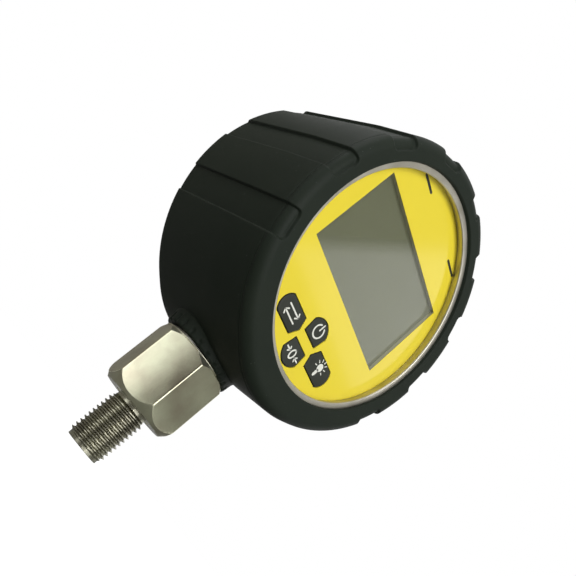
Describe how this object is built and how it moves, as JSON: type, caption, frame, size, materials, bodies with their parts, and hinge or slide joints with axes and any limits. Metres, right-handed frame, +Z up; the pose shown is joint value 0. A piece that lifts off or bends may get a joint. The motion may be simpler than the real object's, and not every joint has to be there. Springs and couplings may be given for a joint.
{
  "type": "digital pressure gauge",
  "caption": "Round digital pressure gauge in a ribbed rubber boot, with a yellow keypad dial, a blank display and a threaded steel stem below.",
  "frame": {"origin": "centre of the mouth of the pressure port, on the end face of the thread", "axes": "+Z up along the stem's axis towards the dial, -Y the way the dial faces, +X to the right of a person who reads it"},
  "size_m": [0.0962, 0.0525, 0.1427],
  "materials": {
    "boot_rubber": "matt moulded rubber",
    "bezel_steel": "turned and satin polished",
    "stem_steel": "machined stainless steel",
    "case_steel": "drawn sheet",
    "overlay_film": "printed film, satin",
    "window_clear": "clear sheet",
    "key_plastic": "satin print",
    "carrier_plastic": "moulded",
    "seal_rubber": "moulded",
    "seal_red": "silicone",
    "switch_plastic": "moulded",
    "display_glass": "polarised glass",
    "frame_plastic": "moulded",
    "light_plastic": "clear acrylic",
    "strip_rubber": "conductive rubber",
    "board_resin": "solder mask",
    "chip_resin": "moulded",
    "connector_plastic": "moulded",
    "screw_steel": "bright",
    "cover_plastic": "textured moulding",
    "cell_jacket": "shrunk sleeve",
    "contact_metal": "plated spring steel",
    "lead_plastic": "insulated wire",
    "foam": "open foam",
    "washer_copper": "annealed copper",
    "ribbon_plastic": "flat cable"
  },
  "bodies": {
    "gauge": {"rubber_boot": "boot_rubber", "bezel_ring": "bezel_steel", "dial_overlay": "overlay_film", "lcd_window": "window_clear", "front_carrier": "carrier_plastic", "front_gasket": "seal_rubber", "switch_body_unit": "switch_plastic", "switch_body_power": "switch_plastic", "switch_body_zero": "switch_plastic", "switch_body_backlight": "switch_plastic", "lcd_glass": "display_glass", "lcd_frame": "frame_plastic", "backlight_panel": "light_plastic", "elastomer_strip": "strip_rubber", "main_board": "board_resin", "board_chips": "chip_resin", "board_connectors": "connector_plastic", "board_screws": "screw_steel", "case_shell": "case_steel", "rear_gasket": "seal_red", "rear_cover": "cover_plastic", "rear_screws": "screw_steel", "cell_top": "cell_jacket", "cell_middle": "cell_jacket", "cell_bottom": "cell_jacket", "contact_plates_left": "contact_metal", "contact_plates_right": "contact_metal", "battery_leads": "lead_plastic", "door_gasket": "seal_rubber", "stem": "stem_steel", "stem_washer": "washer_copper", "stem_socket": "case_steel", "sensor_o_ring": "seal_rubber", "sensor_capsule": "case_steel", "sensor_retainer": "case_steel", "sensor_board": "board_resin", "sensor_ribbon": "ribbon_plastic"},
    "unit_key": {"key_unit": "key_plastic", "switch_button_unit": "switch_plastic"},
    "power_key": {"key_power": "key_plastic", "switch_button_power": "switch_plastic"},
    "zero_key": {"key_zero": "key_plastic", "switch_button_zero": "switch_plastic"},
    "backlight_key": {"key_backlight": "key_plastic", "switch_button_backlight": "switch_plastic"},
    "door": {"battery_door": "cover_plastic", "door_foam": "foam", "door_screws": "screw_steel"}
  },
  "joints": [
    {"name": "unit_key_press", "type": "slide", "parent": "gauge", "child": "unit_key", "axis": [0, 1, 0], "range_m": [0, 0.00035], "stiffness_N_per_m": 3000},
    {"name": "power_key_press", "type": "slide", "parent": "gauge", "child": "power_key", "axis": [0, 1, 0], "range_m": [0, 0.00035], "stiffness_N_per_m": 3000},
    {"name": "zero_key_press", "type": "slide", "parent": "gauge", "child": "zero_key", "axis": [0, 1, 0], "range_m": [0, 0.00035], "stiffness_N_per_m": 3000},
    {"name": "backlight_key_press", "type": "slide", "parent": "gauge", "child": "backlight_key", "axis": [0, 1, 0], "range_m": [0, 0.00035], "stiffness_N_per_m": 3000},
    {"name": "battery_door_lift", "type": "slide", "parent": "gauge", "child": "door", "axis": [0, 1, 0], "range_m": [0, 0.012]}
  ]
}
